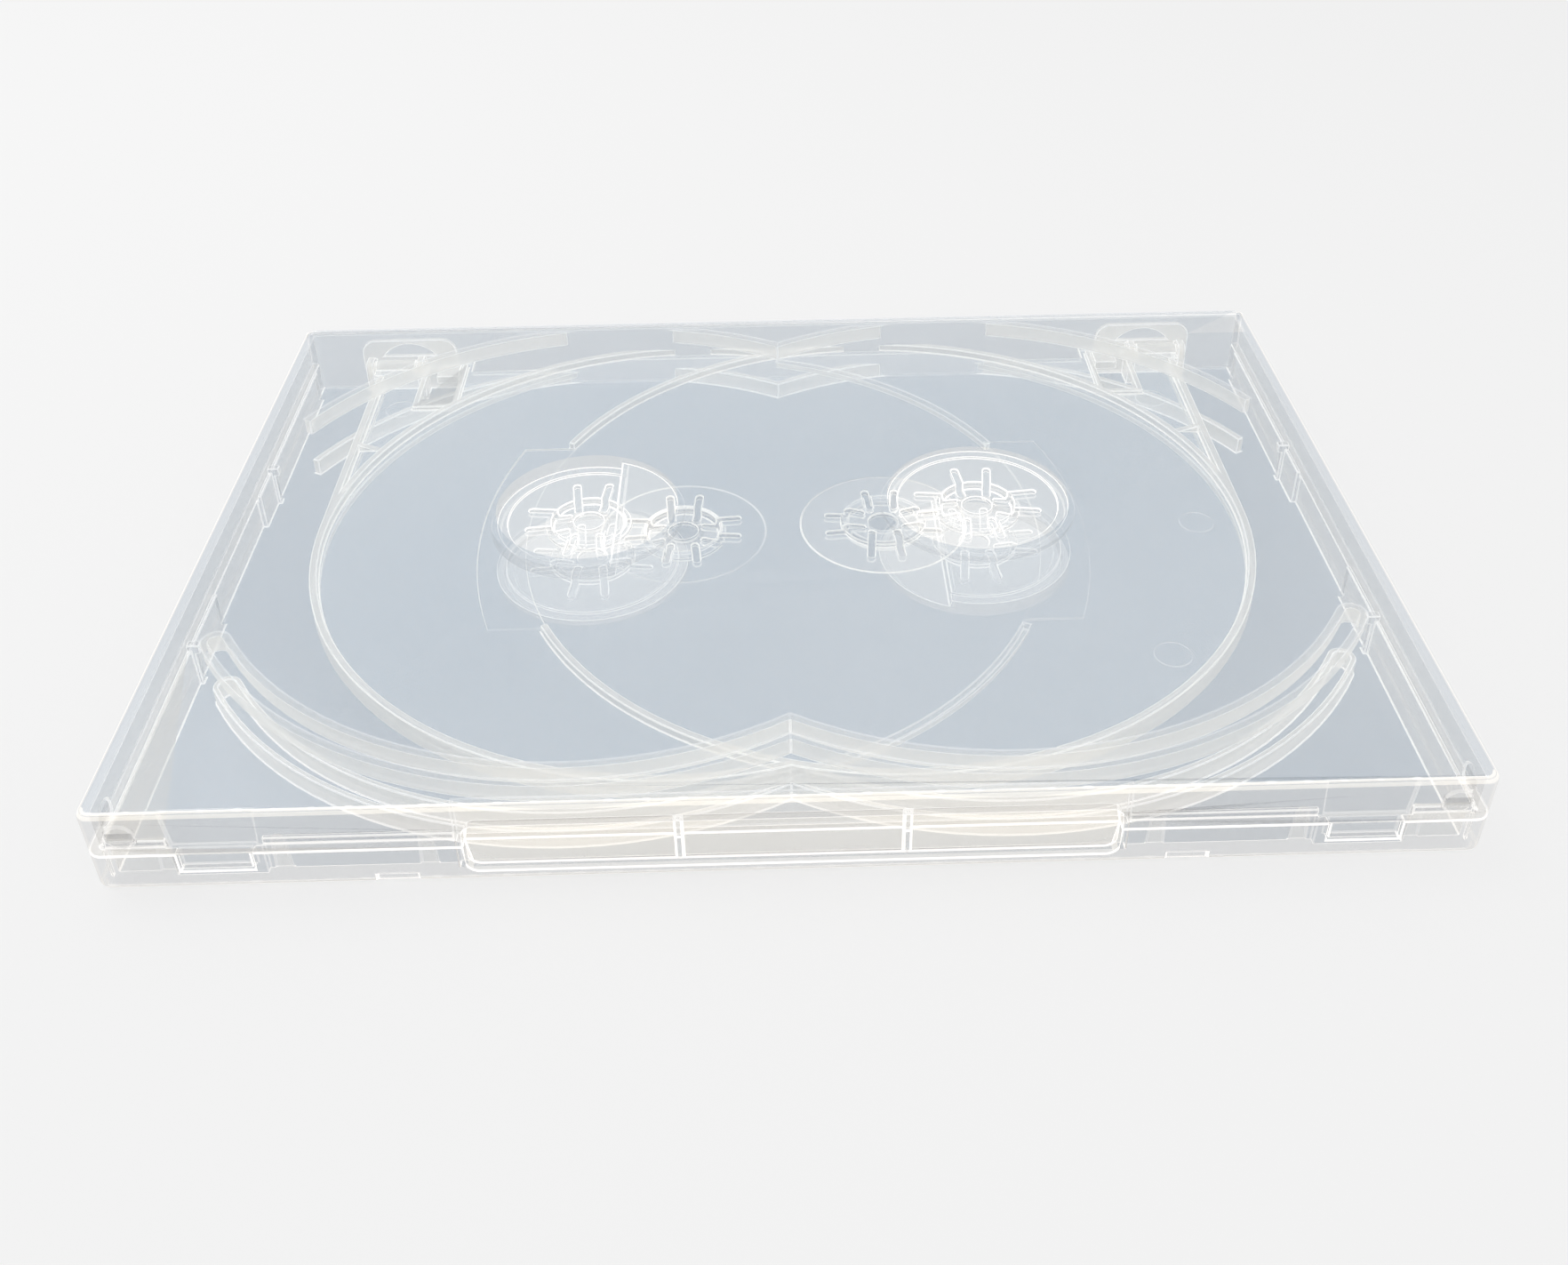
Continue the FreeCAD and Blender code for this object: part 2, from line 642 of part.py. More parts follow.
def hinge_arm(sign):
    """Arm, barrel and pins of one tray hinge."""
    x0 = cheek_inner + cheek_wall + swing
    x1 = cheek_inner + cheek_wall + cheek_span - swing
    arm = block(x0, x1, tray_edge_y - 1, hinge_y, tray_low, tray_high)
    barrel = Part.makeCylinder(barrel_radius, x1 - x0, Vector(x0, hinge_y, mid_height), Vector(1, 0, 0))
    reach = cheek_wall - slide + swing
    pin = Part.makeCylinder(pin_radius, x1 - x0 + 2 * reach, Vector(x0 - reach, hinge_y, mid_height),
                            Vector(1, 0, 0))
    strip = block(window_x - window_width / 2 - 2, cheek_inner - swing, tray_edge_y - 1, bracket_y - swing,
                  tray_low, tray_high)
    solids = [arm, barrel, pin, strip]
    return solids if sign > 0 else [mirrored(s) for s in solids]


def window_opening(sign):
    """Cutters for the window beside one hinge, leaving its tongue."""
    x0, x1 = window_x - window_width / 2, window_x + window_width / 2
    window = block(x0, x1, window_near, window_far, tray_low - 1, tray_high + 1)
    x, t = window_x - tongue_shift, tongue_width / 2
    tongue = block(x - t, x + t, window_far - tongue_length, window_far, tray_low - 1, tray_high + 1)
    window = window.cut(tongue)
    return window if sign > 0 else mirrored(window)


def window_frame(sign):
    """Raised frame round one window."""
    x0, x1 = window_x - window_width / 2 - frame_width, window_x + window_width / 2 + frame_width
    frame = block(x0, x1, window_near - frame_width, window_far, tray_low, tray_high + frame_height)
    return frame if sign > 0 else mirrored(frame)


def finger_recess(sign, low, high):
    """Shallow pocket where a finger lifts the edge of a tray disc."""
    x = sign * (disc_radius - tray_hub_x + recess_reach)
    radius = 2 * recess_reach + disc_radius
    pocket = cylinder(x - sign * radius, disc_y, radius, low, high)
    inner = cylinder(-sign * tray_hub_x, disc_y, tray_rim_inner, low - 1, high + 1)
    a = math.sin(math.radians(arc_far_angle)) * (tray_rim_inner + arc_wall)
    band = block(*sorted((0, sign * tray_side)), disc_y - a, disc_y + a, low, high)
    return pocket.common(band).cut(inner)


def add_tray_hub(body, x):
    """Seat and button standing on the upper face of the tray."""
    seat = tray_high + seat_tray
    pad = cylinder(x, disc_y, tray_seat_radius, tray_high - 0.3, seat)
    cup = button(button_high)
    cup.translate(Vector(x, disc_y, seat))
    well = cylinder(x, disc_y, button_radius - 0.3 - button_skin / 2, tray_low - 1, seat + 0.5)
    body = body.fuse(pad).cut(well).fuse(cup)
    cuts = []
    around = cylinder(x, disc_y, tray_seat_radius, tray_low - 0.4, seat + button_high + 1)
    for slot in slot_cutters(tray_slot_end, tray_slot_gap, 0):
        slot.translate(Vector(x, disc_y, seat))
        cuts.append(slot.common(around))
    return body.cut(cuts)


def film_panels():
    """The clear sleeve: one sheet in life, in three panels because it bends with the two hinges."""
    x = inner_side - slide
    near = -half_depth + edge_round
    front = block(-x, x, near, fold_y - fold_gap, cover_high, case_height)
    back = block(-x, x, near, fold_y - fold_gap, 0, base_low)
    strip = block(-x, x, spine_out, half_depth, 2 * fold_z, case_height - 2 * fold_z)
    return front, back, strip


def main():
    os.makedirs("parts", exist_ok=True)
    front, back, strip = film_panels()
    nodes = {
        "base_half": base_half(),
        "cover_half": cover_half(),
        "spine_strip": spine(),
        "flip_tray": flip_tray(),
        "sleeve_front": front,
        "sleeve_back": back,
        "sleeve_spine": strip,
    }
    for name, shape in nodes.items():
        shape.exportStep("parts/" + name + ".step")
        print(name, len(shape.Solids), "solids", round(shape.Volume, 1), "mm3", shape.isValid())


main()
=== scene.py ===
import math
import bmesh
import bpy
from mathutils import Matrix, Vector
from mathutils.bvhtree import BVHTree


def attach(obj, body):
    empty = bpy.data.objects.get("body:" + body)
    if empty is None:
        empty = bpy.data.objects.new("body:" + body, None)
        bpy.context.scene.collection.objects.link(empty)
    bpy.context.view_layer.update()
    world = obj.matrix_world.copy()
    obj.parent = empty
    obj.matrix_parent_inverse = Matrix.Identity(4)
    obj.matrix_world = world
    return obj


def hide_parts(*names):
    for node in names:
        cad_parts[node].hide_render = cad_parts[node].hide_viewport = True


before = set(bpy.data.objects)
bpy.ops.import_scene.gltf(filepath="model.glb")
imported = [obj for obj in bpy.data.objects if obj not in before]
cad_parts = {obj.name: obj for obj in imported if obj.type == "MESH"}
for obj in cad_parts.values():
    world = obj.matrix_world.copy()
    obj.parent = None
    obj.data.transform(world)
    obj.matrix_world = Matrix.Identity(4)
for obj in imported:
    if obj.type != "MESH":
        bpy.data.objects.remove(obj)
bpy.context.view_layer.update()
print("frame loaded")

mm = 0.001


# Looks of the clear plastic: it is one plastic, but each kind of face gets its own colour by where it lies
# and which way it points, and most kinds get their own glow; these differences are painted light and shade
# Each entry: colour, alpha face on and at a shallow angle, share seen of the far side, painted glow in its
# own colour though the plastic is no lamp

plastic = {
    "plate": ((0.16, 0.29, 0.43, 1), (0.29, 0.34), 0.0, 0.0),     # flat plates seen from above or below
    "wall": ((0.74, 0.71, 0.67, 1), (0.20, 0.46), 0.1, 0.04),     # side walls and upright faces of the hubs
    "edge": ((0.98, 0.96, 0.93, 1), (0.80, 0.94), 0.4, 0.48),     # narrow rounded edges: painted highlight, near-white and glowing
    "end": ((0.50, 0.52, 0.55, 1), (0.28, 0.40), 0.1, 0.04),      # near and far walls, painted a darker grey as shade
    "warm": ((0.82, 0.76, 0.67, 1), (0.30, 0.46), 0.1, 0.07),     # double wall behind the thumb notch
    "rim": ((0.97, 0.92, 0.83, 1), (0.38, 0.55), 0.6, 0.38),      # ribs and rims, painted near-white and glowing as painted light
    "seat": ((0.58, 0.62, 0.65, 1), (0.08, 0.16), 0.0, 0.0),      # level faces of the hubs
}
# The tray lies under the cover: its plates and seats are painted paler and glow, painted light against the
# cover's shade, and its edges and rims glow as painted highlights
trayPlastic = dict(
    plastic,
    plate=((0.80, 0.87, 0.92, 1), (0.17, 0.23), 0.0, 0.36),
    edge=((0.98, 0.96, 0.91, 1), (0.80, 0.92), 0.6, 0.50),
    rim=((0.97, 0.93, 0.86, 1), (0.50, 0.70), 0.5, 0.26),
    seat=((0.92, 0.93, 0.92, 1), (0.24, 0.30), 0.0, 0.42),
)
clearness = {
    "roughness": 0.16,
    "roughSpread": 0.08,      # how much the flow marks change the roughness
    "cloud": 0.30,            # how far the flow marks go towards white
    "cloudShare": 0.8,
    "cloudScale": 14.0,
    "cloudDetail": 2,
    "facingBlend": 0.5,
    "facingStart": 0.25,      # alpha begins to rise here on its way to a shallow angle
    "shadowShare": 0.25,      # how much of its alpha a surface keeps for lamps
}
film = {
    "sheet": ((0.80, 0.86, 0.90, 1), (0.04, 0.20), 0.0, 0.0),
    # the weld's near-white colour and glow are painted glints
    "weld": ((0.97, 0.96, 0.94, 1), (0.60, 0.85), 0.0, 0.25),
    "roughness": 0.08,
}


def newGroup(name, inputs, outputs):
    tree = bpy.data.node_groups.new(name, "ShaderNodeTree")
    for label, kind, value in inputs:
        socket = tree.interface.new_socket(label, in_out="INPUT", socket_type=kind)
        socket.default_value = value
    for label, kind in outputs:
        tree.interface.new_socket(label, in_out="OUTPUT", socket_type=kind)
    return tree, tree.nodes.new("NodeGroupInput"), tree.nodes.new("NodeGroupOutput")


def mathNode(nodes, operation, *values):
    node = nodes.new("ShaderNodeMath")
    node.operation = operation
    for socket, value in zip(node.inputs, values):
        if value is not None:
            socket.default_value = value
    return node


def makeMouldedGroup():  # slow, cloudy flow marks that moulded plastic shows
    inputs = [
        ("Colour", "NodeSocketColor", (0.5, 0.5, 0.5, 1)),
        ("Pale", "NodeSocketColor", (0.8, 0.8, 0.8, 1)),
        ("Scale", "NodeSocketFloat", clearness["cloudScale"]),
        ("Amount", "NodeSocketFloat", clearness["cloudShare"]),
        ("Roughness", "NodeSocketFloat", clearness["roughness"]),
    ]
    outputs = [("Colour", "NodeSocketColor"), ("Roughness", "NodeSocketFloat")]
    tree, start, end = newGroup("mouldedPlastic", inputs, outputs)
    nodes, link = tree.nodes, tree.links.new
    place = nodes.new("ShaderNodeTexCoord")
    cloud = nodes.new("ShaderNodeTexNoise")
    cloud.inputs["Detail"].default_value = clearness["cloudDetail"]
    share = mathNode(nodes, "MULTIPLY", None, None)
    rough = mathNode(nodes, "MULTIPLY_ADD", None, clearness["roughSpread"], None)
    mixed = nodes.new("ShaderNodeMix")
    mixed.data_type = "RGBA"
    link(place.outputs["Object"], cloud.inputs["Vector"])
    link(start.outputs["Scale"], cloud.inputs["Scale"])
    link(cloud.outputs["Fac"], share.inputs[0])
    link(start.outputs["Amount"], share.inputs[1])
    link(share.outputs[0], mixed.inputs["Factor"])
    link(start.outputs["Colour"], mixed.inputs["A"])
    link(start.outputs["Pale"], mixed.inputs["B"])
    link(cloud.outputs["Fac"], rough.inputs[0])
    link(start.outputs["Roughness"], rough.inputs[2])
    link(mixed.outputs["Result"], end.inputs["Colour"])
    link(rough.outputs[0], end.inputs["Roughness"])
    return tree


mouldedGroup = makeMouldedGroup()


def clearMaterial(name, look, roughness):
    colour, alphaRange, farShare, glow = look
    material = bpy.data.materials.new(name)
    material.use_nodes = True
    nodes, link = material.node_tree.nodes, material.node_tree.links.new
    shader = nodes["Principled BSDF"]
    group = nodes.new("ShaderNodeGroup")
    group.node_tree = mouldedGroup
    group.inputs["Colour"].default_value = colour
    pale = [part + (1 - part) * clearness["cloud"] for part in colour[:3]]
    group.inputs["Pale"].default_value = pale + [1]
    group.inputs["Amount"].default_value = clearness["cloudShare"]
    group.inputs["Scale"].default_value = clearness["cloudScale"]
    group.inputs["Roughness"].default_value = roughness
    facing = nodes.new("ShaderNodeLayerWeight")
    facing.inputs["Blend"].default_value = clearness["facingBlend"]
    slope = nodes.new("ShaderNodeMapRange")
    slope.inputs["From Min"].default_value = clearness["facingStart"]
    slope.inputs["From Max"].default_value = 1.0
    slope.inputs["To Min"].default_value = alphaRange[0]
    slope.inputs["To Max"].default_value = alphaRange[1]
    side = nodes.new("ShaderNodeNewGeometry")
    rays = nodes.new("ShaderNodeLightPath")
    front = mathNode(nodes, "MULTIPLY_ADD", None, farShare - 1, 1.0)
    dimmed = mathNode(nodes, "MULTIPLY_ADD", None, clearness["shadowShare"] - 1, 1.0)
    shown = mathNode(nodes, "MULTIPLY", None, None)
    alpha = mathNode(nodes, "MULTIPLY", None, None)
    link(facing.outputs["Facing"], slope.inputs["Value"])
    link(side.outputs["Backfacing"], front.inputs[0])
    link(rays.outputs["Is Shadow Ray"], dimmed.inputs[0])
    link(front.outputs[0], shown.inputs[0])
    link(dimmed.outputs[0], shown.inputs[1])
    link(slope.outputs["Result"], alpha.inputs[0])
    link(shown.outputs[0], alpha.inputs[1])
    link(alpha.outputs[0], shader.inputs["Alpha"])
    link(group.outputs["Colour"], shader.inputs["Base Color"])
    link(group.outputs["Roughness"], shader.inputs["Roughness"])
    # painted light: the plastic glows in its own colour, though it is no lamp
    if glow:
        shader.inputs["Emission Color"].default_value = colour
        shader.inputs["Emission Strength"].default_value = glow
    return material


kinds = ("plate", "wall", "edge", "end", "warm", "rim", "seat")


def plasticSet(name, looks):
    roughness = clearness["roughness"]
    return [clearMaterial(name + kind.capitalize(), looks[kind], roughness) for kind in kinds]


shellMaterials = plasticSet("shell", plastic)
trayMaterials = plasticSet("tray", trayPlastic)
filmMaterial = clearMaterial("film", film["sheet"], film["roughness"])
weldAndGlintMaterial = clearMaterial("filmWeld", film["weld"], film["roughness"])
print("materials ready")


# Mouldings: each is its solid with fine rounded edges

moulding = {
    "mergeWithin": 0.002 * mm,
    "leastEdge": 0.02 * mm,
    "flatWithin": 0.5,                    # degrees
    "edgeRound": 0.22 * mm,
    "roundSteps": 2,
    "roundFrom": 35,                      # edges sharper than this many degrees are rounded
    "stray": 0.10 * mm,                   # rounding further than this from the solid comes back to it
    "flat": 0.9,                          # faces that look up or down more than this are level
    "upright": 0.1,                       # and those that do so less than this are upright
    "plateReach": 0.06 * mm,
    "markReach": 0.40 * mm,               # shallow marks on a plate
    "shallow": 0.35 * mm,                 # steps lower than this show as faint lines
    "faint": 0.25,
    "ringWeight": 0.8,                    # the tray's hub rings are shallow too, but show well
    "seatWeight": 0.5,                    # rings of the shells' hub seats
    "seatRing": 13.0 * mm,
    "hubs": {                             # middle of a hub and how far it reaches
        "shell": (33 * mm, 2.6 * mm, 17.5 * mm),
        "tray": (17.2 * mm, 4.1 * mm, 15.0 * mm),
    },
    "softRing": (14.9 * mm, 17.0 * mm),   # hub edges at a plate's own level, which hardly show
    "notchSide": 46 * mm,
    "notchFace": (-66.1 * mm, -64.7 * mm),
    "cornerBand": (0.45, 0.85),           # slope of the outer corners' middle, which gets the rim look as a painted highlight
    "innerSide": 91.5 * mm,               # outer walls begin here
    "innerEnds": (-65.1 * mm, 65.9 * mm),
}
plateLevels = {
    "base_half": (0.15 * mm, 1.05 * mm),
    "cover_half": (12.95 * mm, 13.85 * mm),
    "flip_tray": (6.55 * mm, 6.85 * mm, 7.15 * mm, 7.45 * mm),
    "spine_strip": (),
}


def cleanCopy(nodeName):
    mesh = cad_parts[nodeName].data.copy()
    mesh.materials.clear()
    work = bmesh.new()
    work.from_mesh(mesh)
    bmesh.ops.remove_doubles(work, verts=work.verts, dist=moulding["mergeWithin"])
    bmesh.ops.dissolve_degenerate(work, dist=moulding["leastEdge"], edges=work.edges)
    level = math.radians(moulding["flatWithin"])
    bmesh.ops.dissolve_limit(work, angle_limit=level, verts=work.verts, edges=work.edges)
    work.to_mesh(mesh)
    work.free()
    return mesh


def onPlate(height, levels, reach=moulding["plateReach"]):
    return any(abs(height - level) < reach for level in levels)


def fromHub(place, family):
    x, y = moulding["hubs"][family][:2]
    return math.hypot(abs(place.x) - x, place.y - y)


def atHub(place, family):
    return fromHub(place, family) < moulding["hubs"][family][2]


def isInner(place):
    near, far = moulding["innerEnds"]
    return near < place.y < far and abs(place.x) < moulding["innerSide"]


# chooses a face's look by where it lies and which way it points; the looks hold painted light and shade
def faceKind(face, levels, family):
    middle, up = face.center, abs(face.normal.z)
    level, inner = up > moulding["flat"], isInner(middle)
    if level and atHub(middle, family) and not onPlate(middle.z, levels):
        return "seat"
    if level and onPlate(middle.z, levels, moulding["markReach"]):
        if middle.y < moulding["innerEnds"][0]:
            return "rim"
        return "plate" if onPlate(middle.z, levels) else "seat"
    if inner and atHub(middle, family):
        return "wall"
    if inner or moulding["cornerBand"][0] < up < moulding["cornerBand"][1]:
        return "rim"
    if abs(face.normal.y) < moulding["flat"]:
        return "wall"
    low, high = moulding["notchFace"]
    behindNotch = low < middle.y < high and abs(middle.x) < moulding["notchSide"]
    return "warm" if behindNotch else "end"


def isStep(face):  # a low upright face, such as the side of a shallow recess
    heights = [corner.co.z for corner in face.verts]
    return abs(face.normal.z) < moulding["upright"] and max(heights) - min(heights) < moulding["shallow"]


def edgeWeight(edge, middle, family):  # full, or less on the rings of the hubs and on low steps
    if any(isStep(face) for face in edge.link_faces):
        ring = family == "tray" and atHub(middle, family)
        return moulding["ringWeight"] if ring else moulding["faint"]
    onSeat = family == "shell" and moulding["seatRing"] < fromHub(middle, family) and atHub(middle, family)
    return moulding["seatWeight"] if onSeat else 1.0


def chooseEdges(mesh, levels, family):  # the sharp edges are rounded, but not the soft rings
    work = bmesh.new()
    work.from_mesh(mesh)
    weight = work.edges.layers.float.new("bevel_weight_edge")
    sharp = math.radians(moulding["roundFrom"])
    low, high = moulding["softRing"]
    for edge in work.edges:
        if len(edge.link_faces) != 2 or edge.calc_face_angle() < sharp:
            continue
        middle = (edge.verts[0].co + edge.verts[1].co) / 2
        if family == "shell" and onPlate(middle.z, levels) and low < fromHub(middle, family) < high:
            edge.smooth = False
        else:
            edge[weight] = edgeWeight(edge, middle, family)
    work.to_mesh(mesh)
    work.free()


def plainMesh(piece):
    bpy.context.view_layer.update()
    ready = piece.evaluated_get(bpy.context.evaluated_depsgraph_get())
    shape = bpy.data.meshes.new_from_object(ready)
    piece.modifiers.clear()
    piece.data = shape


def pullIn(piece, nodeName):
    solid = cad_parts[nodeName].data
    places = [corner.co for corner in solid.vertices]
    surface = BVHTree.FromPolygons(places, [face.vertices for face in solid.polygons])
    low = [min(place[axis] for place in places) for axis in range(3)]
    high = [max(place[axis] for place in places) for axis in range(3)]
    moved = 0
    for corner in piece.data.vertices:
        hit = surface.find_nearest(corner.co)
        nearest, distance = hit[0], hit[3]
        if distance > moulding["stray"]:
            corner.co = nearest
            moved += 1
        corner.co = [min(max(corner.co[axis], low[axis]), high[axis]) for axis in range(3)]
    print(piece.name, moved, "corners pulled in")


def mouldedPiece(nodeName, bodyName, pieceName, materials):
    mesh = cleanCopy(nodeName)
    for material in materials:
        mesh.materials.append(material)
    levels = plateLevels[nodeName]
    family = "tray" if bodyName == "tray" else "shell"
    for face in mesh.polygons:
        kind = faceKind(face, levels, family)
        face.material_index = kinds.index(kind)
        face.use_smooth = kind not in ("plate", "seat")  # level faces stay flat
    chooseEdges(mesh, levels, family)
    piece = bpy.data.objects.new(pieceName, mesh)
    bpy.context.scene.collection.objects.link(piece)
    rounding = piece.modifiers.new("rounding", "BEVEL")
    rounding.width = moulding["edgeRound"]
    rounding.segments = moulding["roundSteps"]
    rounding.limit_method = "WEIGHT"
    rounding.use_clamp_overlap = False
    # the rounded faces take the edge look, a painted highlight
    rounding.material = kinds.index("edge")
    normals = piece.modifiers.new("normals", "WEIGHTED_NORMAL")
    normals.keep_sharp = True
    plainMesh(piece)
    pullIn(piece, nodeName)
    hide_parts(nodeName)
    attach(piece, bodyName)
    print(pieceName, len(piece.data.polygons), "faces")


mouldedPiece("base_half", "base", "baseMoulding", shellMaterials)
mouldedPiece("cover_half", "cover", "coverMoulding", shellMaterials)
mouldedPiece("spine_strip", "spine", "spineMoulding", shellMaterials)
mouldedPiece("flip_tray", "tray", "trayMoulding", trayMaterials)
for nodeName in ("sleeve_front", "sleeve_back", "sleeve_spine"):
    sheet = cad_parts[nodeName]
    sheet.data.materials.clear()
    sheet.data.materials.append(filmMaterial)
print("pieces ready")


# Weld along the film's near edge: a fine bead with a row of small marks, near-white and glowing as painted
# glints

weld = {
    "length": 186 * mm,
    "spacing": 4.9 * mm,
    "markSize": (2.1 * mm, 0.55 * mm, 0.26 * mm),
    "markFaces": (12, 6),     # round and along one mark
    "beadRadius": 0.11 * mm,
    "beadFaces": 8,
    "spread": 0.35,           # how much the marks differ in size
    "seed": 7,
    "coverPlace": (0, -66.62 * mm, 13.84 * mm),
    "basePlace": (0, -66.62 * mm, 0.16 * mm),
}


def makeWeldGroup():
    tree = bpy.data.node_groups.new("weldMarks", "GeometryNodeTree")
    inputs = [
        ("Length", "NodeSocketFloat", weld["length"]),
        ("Spacing", "NodeSocketFloat", weld["spacing"]),
        ("Mark Size", "NodeSocketVector", weld["markSize"]),
        ("Bead Radius", "NodeSocketFloat", weld["beadRadius"]),
        ("Spread", "NodeSocketFloat", weld["spread"]),
        ("Seed", "NodeSocketInt", weld["seed"]),
        ("Material", "NodeSocketMaterial", weldAndGlintMaterial),
    ]
    for label, kind, value in inputs:
        socket = tree.interface.new_socket(label, in_out="INPUT", socket_type=kind)
        socket.default_value = value
    tree.interface.new_socket("Geometry", in_out="OUTPUT", socket_type="NodeSocketGeometry")
    nodes, link = tree.nodes, tree.links.new
    start, end = nodes.new("NodeGroupInput"), nodes.new("NodeGroupOutput")

    leftHalf = mathNode(nodes, "MULTIPLY", None, -0.5)    # both ends of the weld
    rightHalf = mathNode(nodes, "MULTIPLY", None, 0.5)
    first = nodes.new("ShaderNodeCombineXYZ")
    last = nodes.new("ShaderNodeCombineXYZ")
    link(start.outputs["Length"], leftHalf.inputs[0])
    link(start.outputs["Length"], rightHalf.inputs[0])
    link(leftHalf.outputs[0], first.inputs["X"])
    link(rightHalf.outputs[0], last.inputs["X"])

    share = mathNode(nodes, "DIVIDE", None, None)         # a row of points, one for each mark
    count = mathNode(nodes, "FLOOR", None)
    step = nodes.new("ShaderNodeCombineXYZ")
    row = nodes.new("GeometryNodeMeshLine")
    row.mode = "OFFSET"
    link(start.outputs["Length"], share.inputs[0])
    link(start.outputs["Spacing"], share.inputs[1])
    link(share.outputs[0], count.inputs[0])
    link(start.outputs["Spacing"], step.inputs["X"])
    link(count.outputs[0], row.inputs["Count"])
    link(first.outputs[0], row.inputs["Start Location"])
    link(step.outputs[0], row.inputs["Offset"])

    ball = nodes.new("GeometryNodeMeshUVSphere")          # marks of slightly different sizes
    ball.inputs["Segments"].default_value, ball.inputs["Rings"].default_value = weld["markFaces"]
    ball.inputs["Radius"].default_value = 0.5
    least = mathNode(nodes, "SUBTRACT", 1.0, None)
    chance = nodes.new("FunctionNodeRandomValue")
    chance.data_type = "FLOAT"
    sized = nodes.new("ShaderNodeVectorMath")
    sized.operation = "SCALE"
    marks = nodes.new("GeometryNodeInstanceOnPoints")
    realized = nodes.new("GeometryNodeRealizeInstances")
    link(start.outputs["Spread"], least.inputs[1])
    link(least.outputs[0], chance.inputs[2])
    link(start.outputs["Seed"], chance.inputs["Seed"])
    link(start.outputs["Mark Size"], sized.inputs[0])
    link(chance.outputs[1], sized.inputs["Scale"])
    link(row.outputs["Mesh"], marks.inputs["Points"])
    link(ball.outputs["Mesh"], marks.inputs["Instance"])
    link(sized.outputs[0], marks.inputs["Scale"])
    link(marks.outputs["Instances"], realized.inputs["Geometry"])

    line = nodes.new("GeometryNodeCurvePrimitiveLine")    # the bead
    ring = nodes.new("GeometryNodeCurvePrimitiveCircle")
    ring.inputs["Resolution"].default_value = weld["beadFaces"]
    bead = nodes.new("GeometryNodeCurveToMesh")
    link(first.outputs[0], line.inputs["Start"])
    link(last.outputs[0], line.inputs["End"])
    link(start.outputs["Bead Radius"], ring.inputs["Radius"])
    link(line.outputs["Curve"], bead.inputs["Curve"])
    link(ring.outputs["Curve"], bead.inputs["Profile Curve"])

    joined = nodes.new("GeometryNodeJoinGeometry")
    finish = nodes.new("GeometryNodeSetMaterial")
    link(realized.outputs["Geometry"], joined.inputs["Geometry"])
    link(bead.outputs["Mesh"], joined.inputs["Geometry"])
    link(joined.outputs["Geometry"], finish.inputs["Geometry"])
    link(start.outputs["Material"], finish.inputs["Material"])
    link(finish.outputs["Geometry"], end.inputs["Geometry"])
    return tree


weldGroup = makeWeldGroup()


def filmWeld(pieceName, bodyName, place):
    mesh = bpy.data.meshes.new(pieceName)
    piece = bpy.data.objects.new(pieceName, mesh)
    bpy.context.scene.collection.objects.link(piece)
    modifier = piece.modifiers.new("weld", "NODES")
    modifier.node_group = weldGroup
    values = {
        "Length": weld["length"],
        "Spacing": weld["spacing"],
        "Mark Size": weld["markSize"],
        "Bead Radius": weld["beadRadius"],
        "Spread": weld["spread"],
        "Seed": weld["seed"],
        "Material": weldAndGlintMaterial,
    }
    for item in weldGroup.interface.items_tree:
        if item.in_out == "INPUT":
            modifier[item.identifier] = values[item.name]
    plainMesh(piece)
    piece.data.transform(Matrix.Translation(place))
    for face in piece.data.polygons:
        face.use_smooth = True
    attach(piece, bodyName)
    print(pieceName, len(piece.data.polygons), "faces")


filmWeld("coverWeld", "cover", weld["coverPlace"])
filmWeld("baseWeld", "base", weld["basePlace"])


# Floor, light and camera

studio = {
    "backdrop": 0.913,        # pale grey of the picture's background, linear
    "world": 0.60,
    "floorHalf": 6.0,
    "floorDrop": 0.0002,
    "floorRoughness": 0.9,
    "floorGlow": 0.70,        # share of the floor's own colour that the camera sees without shadow
}
lamps = {    # power, size, place
    "key": (2.2, 0.5, (-0.35, 0.25, 0.65)),
    "fill": (1.0, 0.6, (0.5, -0.45, 0.5)),
}


def floorMaterial():
    material = bpy.data.materials.new("floor")
    material.use_nodes = True
    nodes, link = material.node_tree.nodes, material.node_tree.links.new
    shader = nodes["Principled BSDF"]
    grey = studio["backdrop"]
    shader.inputs["Base Color"].default_value = (grey, grey, grey, 1)
    shader.inputs["Roughness"].default_value = studio["floorRoughness"]
    glow = nodes.new("ShaderNodeEmission")
    glow.inputs["Color"].default_value = (grey, grey, grey, 1)
    rays = nodes.new("ShaderNodeLightPath")
    share = mathNode(nodes, "MULTIPLY", None, studio["floorGlow"])
    mixed = nodes.new("ShaderNodeMixShader")
    link(rays.outputs["Is Camera Ray"], share.inputs[0])
    link(share.outputs[0], mixed.inputs["Fac"])
    link(shader.outputs[0], mixed.inputs[1])
    link(glow.outputs[0], mixed.inputs[2])
    link(mixed.outputs[0], nodes["Material Output"].inputs["Surface"])
    return material


def makeFloor():
    mesh = bpy.data.meshes.new("floor")
    half = studio["floorHalf"]
    corners = [(-half, -half, 0), (half, -half, 0), (half, half, 0), (-half, half, 0)]
    mesh.from_pydata(corners, [], [(0, 1, 2, 3)])
    mesh.materials.append(floorMaterial())
    piece = bpy.data.objects.new("floor", mesh)
    piece.location.z = -studio["floorDrop"]
    bpy.context.scene.collection.objects.link(piece)


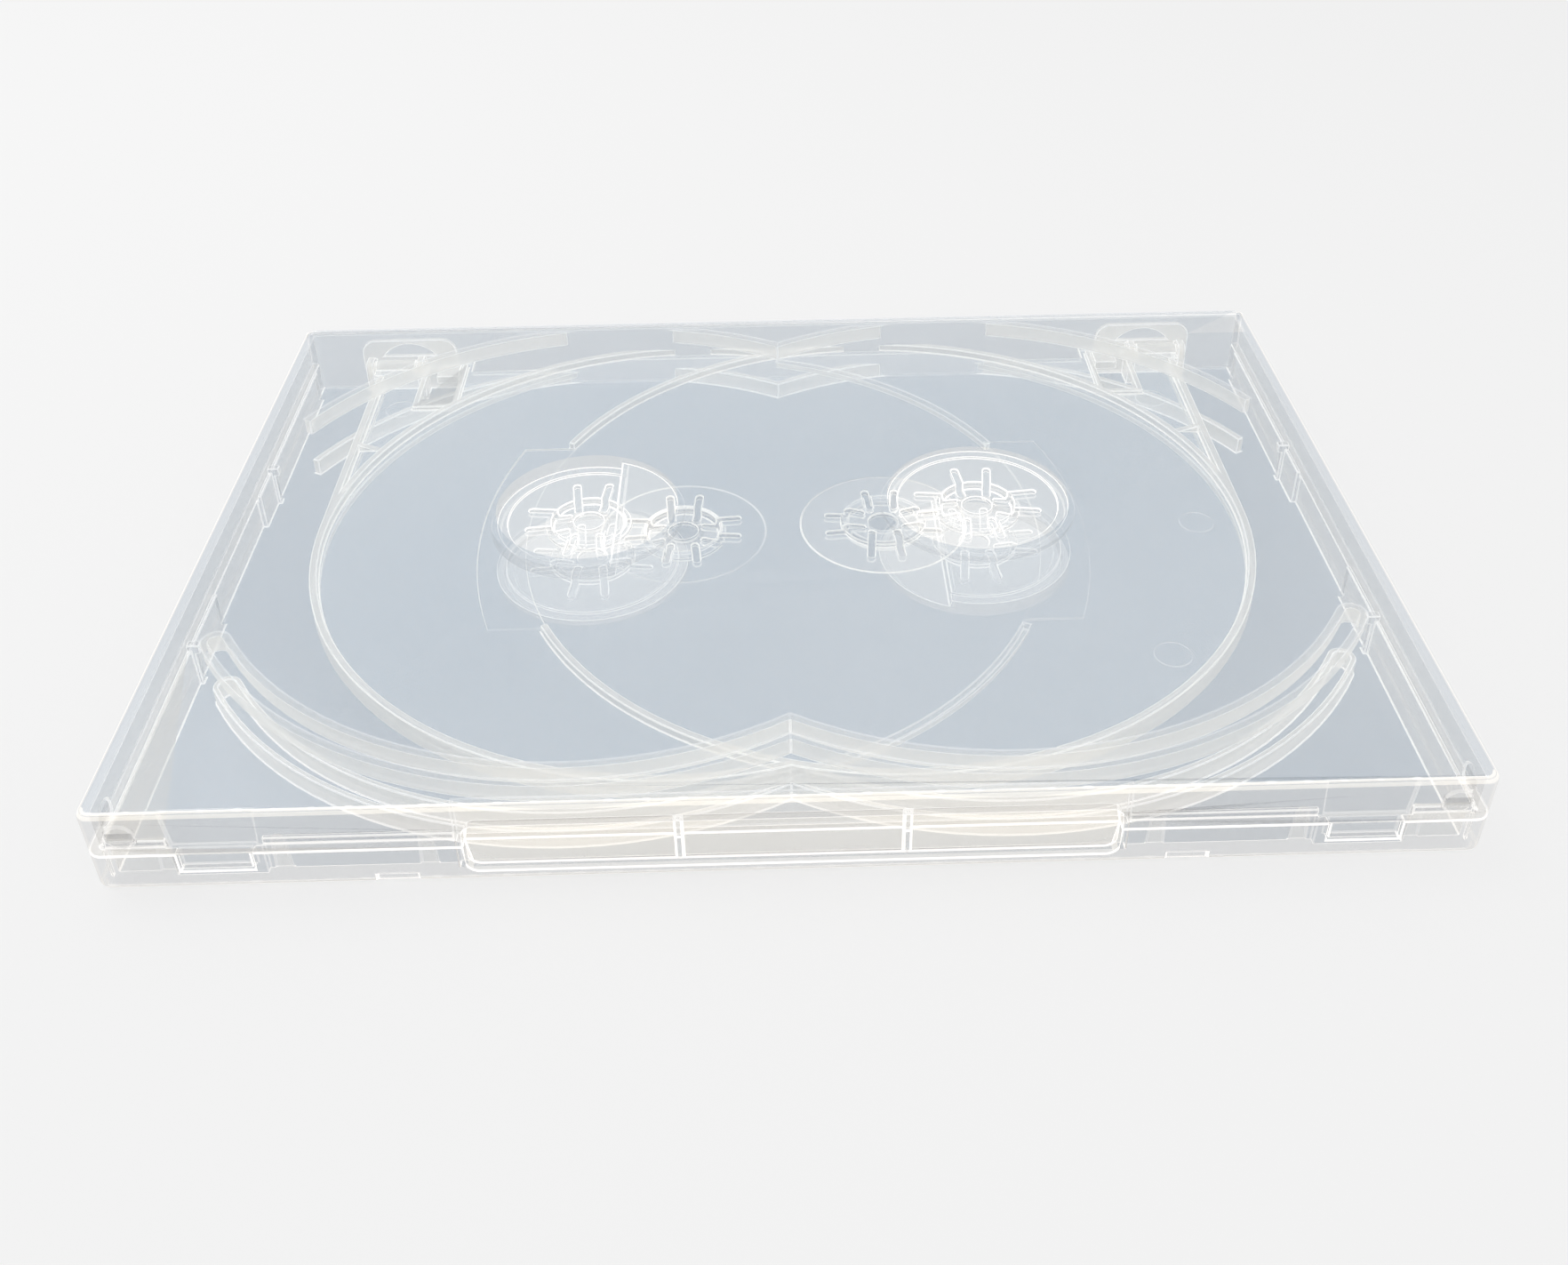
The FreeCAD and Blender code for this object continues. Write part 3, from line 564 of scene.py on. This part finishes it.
def makeWorld():
    world = bpy.data.worlds.new("studio")
    bpy.context.scene.world = world
    world.use_nodes = True
    nodes, link = world.node_tree.nodes, world.node_tree.links.new
    light = nodes["Background"]
    light.inputs["Color"].default_value = (1, 1, 1, 1)
    light.inputs["Strength"].default_value = studio["world"]
    seen = nodes.new("ShaderNodeBackground")
    grey = studio["backdrop"]
    seen.inputs["Color"].default_value = (grey, grey, grey, 1)
    rays = nodes.new("ShaderNodeLightPath")
    either = mathNode(nodes, "MAXIMUM", None, None)
    anyRay = mathNode(nodes, "MAXIMUM", None, None)
    mixed = nodes.new("ShaderNodeMixShader")
    link(rays.outputs["Is Camera Ray"], either.inputs[0])
    link(rays.outputs["Is Glossy Ray"], either.inputs[1])
    link(either.outputs[0], anyRay.inputs[0])
    link(rays.outputs["Is Transmission Ray"], anyRay.inputs[1])
    link(anyRay.outputs[0], mixed.inputs["Fac"])
    link(light.outputs[0], mixed.inputs[1])
    link(seen.outputs[0], mixed.inputs[2])
    link(mixed.outputs[0], nodes["World Output"].inputs["Surface"])


def makeLamp(name, power, size, place):  # each looks at the middle of the stage
    data = bpy.data.lights.new(name, "AREA")
    data.energy = power
    data.size = size
    lamp = bpy.data.objects.new(name, data)
    lamp.location = place
    lamp.rotation_euler = (-Vector(place)).to_track_quat("-Z", "Y").to_euler()
    bpy.context.scene.collection.objects.link(lamp)


makeFloor()
makeWorld()
for lampName, values in lamps.items():
    makeLamp(lampName, *values)

cameraValues = {
    "place": (-0.00195, -0.21666, 0.16441),
    "turn": (55.9186, 0.6038, -1.5243),
    "lens": 36.109,
    "shift": (-0.00786, -0.09164),
    "nearest": 0.01,
}
lens = bpy.data.cameras.new("camera")
lens.lens = cameraValues["lens"]
lens.shift_x, lens.shift_y = cameraValues["shift"]
lens.clip_start = cameraValues["nearest"]
camera = bpy.data.objects.new("camera", lens)
camera.location = cameraValues["place"]
camera.rotation_euler = [math.radians(angle) for angle in cameraValues["turn"]]
bpy.context.scene.collection.objects.link(camera)
bpy.context.scene.camera = camera

scene = bpy.context.scene
scene.view_settings.view_transform = "Standard"
scene.cycles.transparent_max_bounces = 64  # many clear layers lie behind each other
scene.cycles.max_bounces = 3
scene.cycles.diffuse_bounces = 1
scene.cycles.glossy_bounces = 1
print("studio ready")
